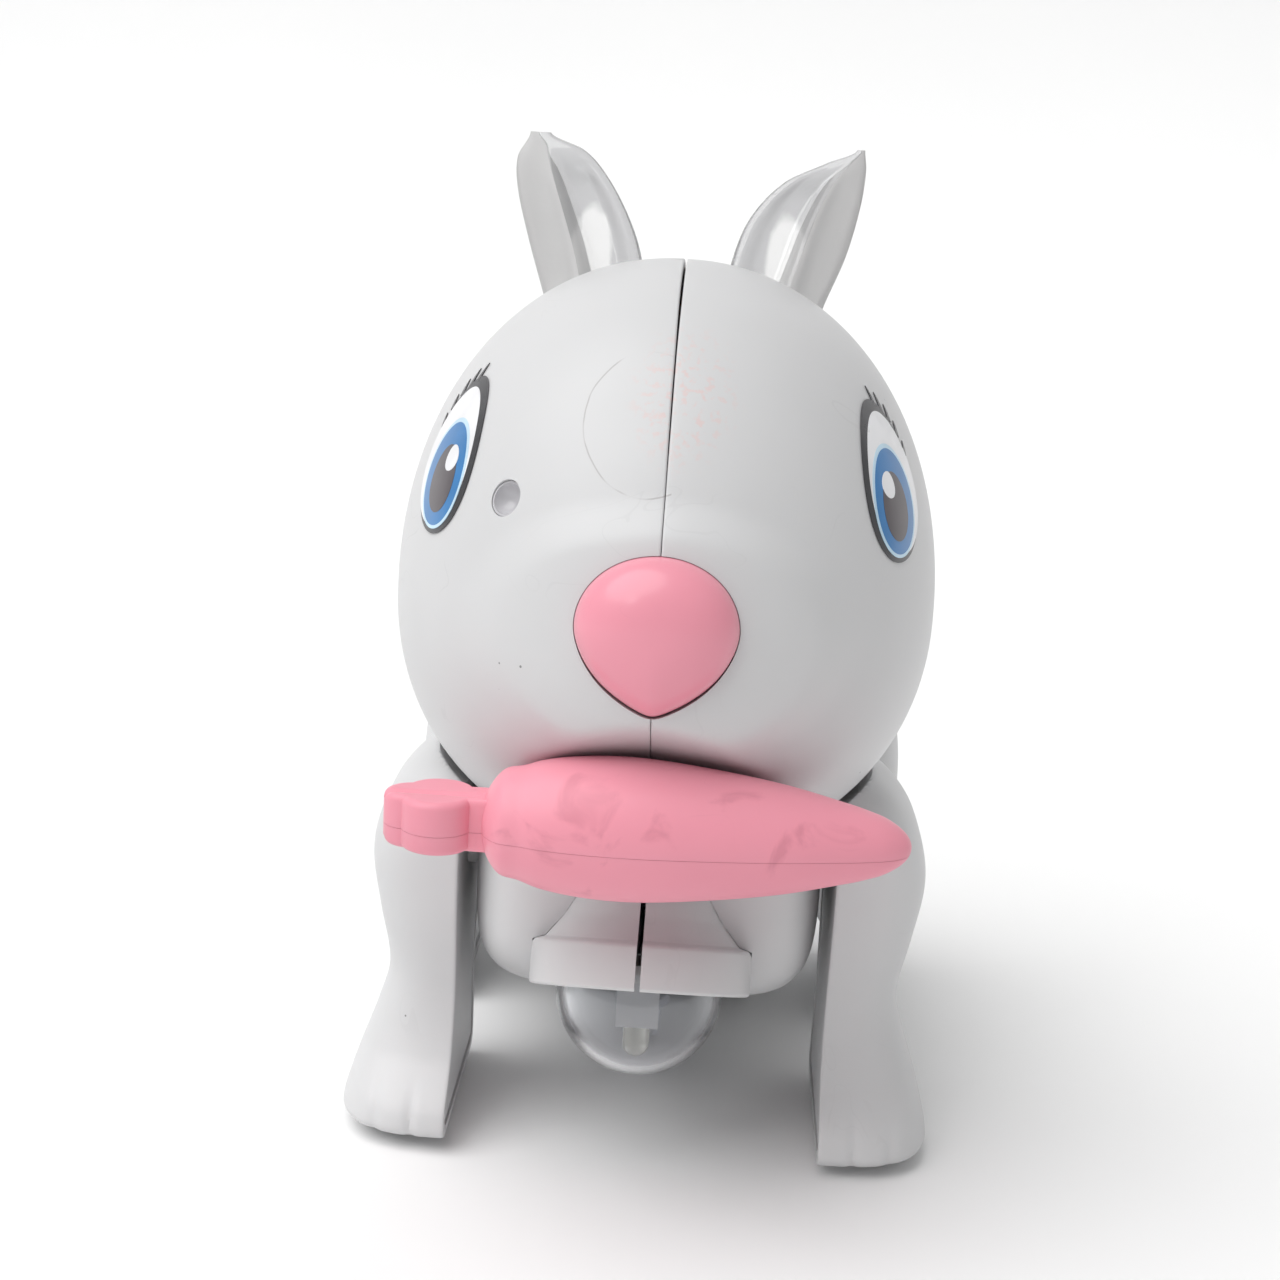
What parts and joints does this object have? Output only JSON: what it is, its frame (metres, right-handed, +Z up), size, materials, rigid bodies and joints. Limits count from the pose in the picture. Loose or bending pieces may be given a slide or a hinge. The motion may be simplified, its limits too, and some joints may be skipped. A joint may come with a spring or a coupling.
{
  "type": "walking rabbit toy",
  "caption": "White plastic walking rabbit with clear ears, pink nose and carrot, dome lamp under the chest, swinging front legs, geared drive wheels and a caster.",
  "frame": {"origin": "centre of the footprint box on the floor, under the tyres and the roller", "axes": "+Z up, -Y the way the rabbit faces, +X its own left side"},
  "size_m": [0.1178, 0.18, 0.195],
  "materials": {
    "white_plastic": "satin moulded plastic",
    "pink_plastic": "semi-gloss moulded plastic",
    "clear_plastic": "clear polished styrene",
    "eye_print": "printed glossy sticker",
    "lamp_epoxy": "clear lamp epoxy",
    "grey_plastic": "matte moulded plastic",
    "gear_plastic": "acetal",
    "tyre_rubber": "soft rubber",
    "steel": "drawn steel",
    "cell_jacket": "printed sleeve on a cell can",
    "motor_can": "plated can",
    "brass": "turned brass",
    "board": "green circuit board",
    "black_plastic": "black moulded plastic"
  },
  "bodies": {
    "toy": {"body_shell_left": "white_plastic", "body_shell_right": "white_plastic", "head_shell_left": "white_plastic", "head_shell_right": "white_plastic", "rear_leg_left": "white_plastic", "rear_leg_right": "white_plastic", "rear_leg_cover_left": "white_plastic", "rear_leg_cover_right": "white_plastic", "tail": "white_plastic", "lamp_housing_left": "white_plastic", "lamp_housing_right": "white_plastic", "battery_door": "white_plastic", "lamp_post": "white_plastic", "neck_tube": "white_plastic", "nose": "pink_plastic", "carrot_upper": "pink_plastic", "carrot_lower": "pink_plastic", "ear_left": "clear_plastic", "ear_right": "clear_plastic", "lamp_dome": "clear_plastic", "cheek_lens": "clear_plastic", "eye_sticker_left": "eye_print", "eye_sticker_right": "eye_print", "ear_leds": "lamp_epoxy", "lamp_led": "lamp_epoxy", "battery_box": "grey_plastic", "gear_frame_left": "grey_plastic", "gear_frame_right": "grey_plastic", "caster_socket": "grey_plastic", "gear_pins": "steel", "body_screws": "steel", "door_screw": "steel", "battery_contacts": "steel", "batteries": "cell_jacket", "motor": "motor_can", "circuit_board": "board", "speaker": "black_plastic", "switch_body": "black_plastic"},
    "leg_left": {"front_leg_left": "white_plastic", "front_leg_cover_left": "white_plastic", "leg_lever_left": "grey_plastic"},
    "leg_right": {"front_leg_right": "white_plastic", "front_leg_cover_right": "white_plastic", "leg_lever_right": "grey_plastic"},
    "drive_wheels": {"drive_axle": "steel", "axle_gear": "gear_plastic", "wheel_left": "grey_plastic", "wheel_right": "grey_plastic", "tyre_left": "tyre_rubber", "tyre_right": "tyre_rubber"},
    "second_stage": {"second_gear": "gear_plastic"},
    "first_stage": {"first_gear": "gear_plastic"},
    "motor_shaft": {"motor_pinion": "brass"},
    "crank": {"crank_gear": "gear_plastic", "crank_shaft": "steel"},
    "caster": {"caster_fork": "grey_plastic", "caster_axle": "steel"},
    "roller": {"caster_roller": "grey_plastic"},
    "switch": {"switch_knob": "black_plastic"}
  },
  "joints": [
    {"name": "drive_spin", "type": "hinge", "parent": "toy", "child": "drive_wheels", "pos_m": [0, 0.06, 0.018], "axis": [1, 0, 0], "continuous": true},
    {"name": "second_gear_spin", "type": "hinge", "parent": "toy", "child": "second_stage", "pos_m": [0, 0.054, 0.03283], "axis": [1, 0, 0], "continuous": true},
    {"name": "first_gear_spin", "type": "hinge", "parent": "toy", "child": "first_stage", "pos_m": [0, 0.06, 0.04766], "axis": [1, 0, 0], "continuous": true},
    {"name": "motor_spin", "type": "hinge", "parent": "toy", "child": "motor_shaft", "pos_m": [0, 0.057, 0.06338], "axis": [1, 0, 0], "continuous": true},
    {"name": "crank_spin", "type": "hinge", "parent": "toy", "child": "crank", "pos_m": [0, 0.03775, 0.05667], "axis": [1, 0, 0], "continuous": true},
    {"name": "leg_left_swing", "type": "hinge", "parent": "toy", "child": "leg_left", "pos_m": [0, -0.017, 0.054], "axis": [1, 0, 0], "range_deg": [-3.5, 3.5]},
    {"name": "leg_right_swing", "type": "hinge", "parent": "toy", "child": "leg_right", "pos_m": [0, -0.017, 0.054], "axis": [1, 0, 0], "range_deg": [-3.5, 3.5]},
    {"name": "caster_swivel", "type": "hinge", "parent": "toy", "child": "caster", "pos_m": [0, 0, 0.0165], "axis": [0, 0, 1], "continuous": true},
    {"name": "roller_spin", "type": "hinge", "parent": "caster", "child": "roller", "pos_m": [0, 0.004, 0.007], "axis": [1, 0, 0], "continuous": true},
    {"name": "power_switch", "type": "slide", "parent": "toy", "child": "switch", "axis": [1, 0, 0], "range_m": [0, 0.003]}
  ],
  "couplings": [
    {"joint": "second_gear_spin", "follows": "drive_spin", "ratio": -3},
    {"joint": "first_gear_spin", "follows": "drive_spin", "ratio": 9},
    {"joint": "motor_spin", "follows": "drive_spin", "ratio": -27},
    {"joint": "crank_spin", "follows": "drive_spin", "ratio": -9},
    {"joint": "leg_right_swing", "follows": "leg_left_swing", "ratio": -1}
  ]
}
